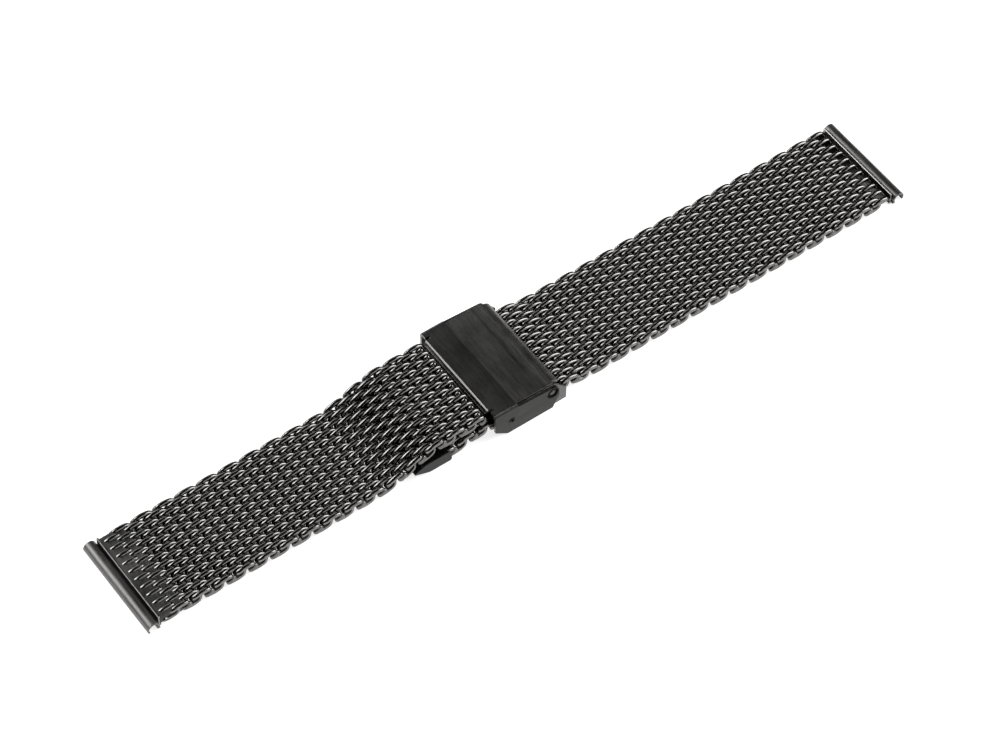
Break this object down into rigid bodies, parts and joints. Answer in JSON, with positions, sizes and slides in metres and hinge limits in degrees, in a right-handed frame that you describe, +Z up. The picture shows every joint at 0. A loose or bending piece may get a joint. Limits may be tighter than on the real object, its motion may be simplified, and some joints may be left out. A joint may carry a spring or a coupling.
{
  "type": "milanese mesh watch bracelet",
  "caption": "Two-piece milanese mesh watch bracelet with a sliding fold-over clasp and curled spring-bar channels at both ends, black-coated steel, lying closed and flat.",
  "frame": {"origin": "middle of the closed, flat bracelet on the ground plane that it lies on", "axes": "+X along the strap towards the long half, +Y across the strap, +Z up out of the face of the clasp"},
  "size_m": [0.1738, 0.0244, 0.0071],
  "materials": {
    "black_mesh": "polished steel wire with a black vapour coating",
    "black_sheet": "brushed steel sheet with a black vapour coating",
    "black_panel": "fine satin, black vapour coating",
    "black_pin": "turned pin, black vapour coating",
    "black_edge": "sheared sheet edges, slightly brighter than the faces"
  },
  "bodies": {
    "base": {"clasp_base": "black_sheet", "hook_bar": "black_pin", "hinge_pin": "black_pin", "lock_flap_pin": "black_pin"},
    "cover": {"clasp_cover": "black_sheet", "cover_panel": "black_panel"},
    "flap": {"lock_flap": "black_sheet"},
    "hook": {"strap_hook": "black_sheet", "hook_end_mesh": "black_mesh"},
    "core": {"core_mesh": "black_mesh"},
    "tail": {"tail_mesh": "black_mesh", "tail_cap": "black_sheet"},
    "short_1": {"short_mesh_1": "black_mesh"},
    "short_2": {"short_mesh_2": "black_mesh"},
    "short_3": {"short_mesh_3": "black_mesh"},
    "short_4": {"short_mesh_4": "black_mesh"},
    "short_5": {"short_mesh_5": "black_mesh"},
    "short_6": {"short_mesh_6": "black_mesh"},
    "short_7": {"short_mesh_7": "black_mesh", "short_end_clip": "black_edge", "short_end_channel": "black_sheet"},
    "long_1": {"long_mesh_1": "black_mesh"},
    "long_2": {"long_mesh_2": "black_mesh"},
    "long_3": {"long_mesh_3": "black_mesh"},
    "long_4": {"long_mesh_4": "black_mesh"},
    "long_5": {"long_mesh_5": "black_mesh"},
    "long_6": {"long_mesh_6": "black_mesh"},
    "long_7": {"long_mesh_7": "black_mesh"},
    "long_8": {"long_mesh_8": "black_mesh", "long_end_clip": "black_edge", "long_end_channel": "black_sheet"}
  },
  "joints": [
    {"name": "cover_hinge", "type": "hinge", "parent": "base", "child": "cover", "pos_m": [0.00144, 0, 0.0045], "axis": [0, 1, 0], "range_deg": [0, 48]},
    {"name": "lock_flap_hinge", "type": "hinge", "parent": "base", "child": "flap", "pos_m": [-0.00026, 0, 0.0004], "axis": [0, -1, 0], "range_deg": [0, 70]},
    {"name": "size_slide", "type": "slide", "parent": "base", "child": "core", "axis": [1, 0, 0], "range_m": [0, 0.005]},
    {"name": "tail_bend", "type": "hinge", "parent": "core", "child": "tail", "pos_m": [-0.01791, 0, 0.00193], "axis": [0, -1, 0], "range_deg": [0, 12]},
    {"name": "hook_pivot", "type": "hinge", "parent": "base", "child": "hook", "pos_m": [-0.00666, 0, 0.0051], "axis": [0, -1, 0], "range_deg": [-2, 0.4]},
    {"name": "short_bend_1", "type": "hinge", "parent": "hook", "child": "short_1", "pos_m": [-0.0179, 0, 0.0056], "axis": [0, -1, 0], "range_deg": [-10, 1.2]},
    {"name": "short_bend_2", "type": "hinge", "parent": "short_1", "child": "short_2", "pos_m": [-0.02715, 0, 0.00446], "axis": [0, -1, 0], "range_deg": [-10, 6]},
    {"name": "short_bend_3", "type": "hinge", "parent": "short_2", "child": "short_3", "pos_m": [-0.03603, 0, 0.00145], "axis": [0, -1, 0], "range_deg": [-10, 16]},
    {"name": "short_bend_4", "type": "hinge", "parent": "short_3", "child": "short_4", "pos_m": [-0.04543, 0, 0.0014], "axis": [0, -1, 0], "range_deg": [-10, 16]},
    {"name": "short_bend_5", "type": "hinge", "parent": "short_4", "child": "short_5", "pos_m": [-0.05483, 0, 0.0014], "axis": [0, -1, 0], "range_deg": [-10, 16]},
    {"name": "short_bend_6", "type": "hinge", "parent": "short_5", "child": "short_6", "pos_m": [-0.06423, 0, 0.0014], "axis": [0, -1, 0], "range_deg": [-10, 16]},
    {"name": "short_bend_7", "type": "hinge", "parent": "short_6", "child": "short_7", "pos_m": [-0.07363, 0, 0.0014], "axis": [0, -1, 0], "range_deg": [-10, 16]},
    {"name": "long_bend_1", "type": "hinge", "parent": "core", "child": "long_1", "pos_m": [0.00789, 0, 0.00203], "axis": [0, 1, 0], "range_deg": [-10, 16]},
    {"name": "long_bend_2", "type": "hinge", "parent": "long_1", "child": "long_2", "pos_m": [0.01723, 0, 0.0014], "axis": [0, 1, 0], "range_deg": [-10, 16]},
    {"name": "long_bend_3", "type": "hinge", "parent": "long_2", "child": "long_3", "pos_m": [0.02663, 0, 0.0014], "axis": [0, 1, 0], "range_deg": [-10, 16]},
    {"name": "long_bend_4", "type": "hinge", "parent": "long_3", "child": "long_4", "pos_m": [0.03603, 0, 0.0014], "axis": [0, 1, 0], "range_deg": [-10, 16]},
    {"name": "long_bend_5", "type": "hinge", "parent": "long_4", "child": "long_5", "pos_m": [0.04543, 0, 0.0014], "axis": [0, 1, 0], "range_deg": [-10, 16]},
    {"name": "long_bend_6", "type": "hinge", "parent": "long_5", "child": "long_6", "pos_m": [0.05483, 0, 0.0014], "axis": [0, 1, 0], "range_deg": [-10, 16]},
    {"name": "long_bend_7", "type": "hinge", "parent": "long_6", "child": "long_7", "pos_m": [0.06423, 0, 0.0014], "axis": [0, 1, 0], "range_deg": [-10, 16]},
    {"name": "long_bend_8", "type": "hinge", "parent": "long_7", "child": "long_8", "pos_m": [0.07363, 0, 0.0014], "axis": [0, 1, 0], "range_deg": [-10, 16]}
  ]
}
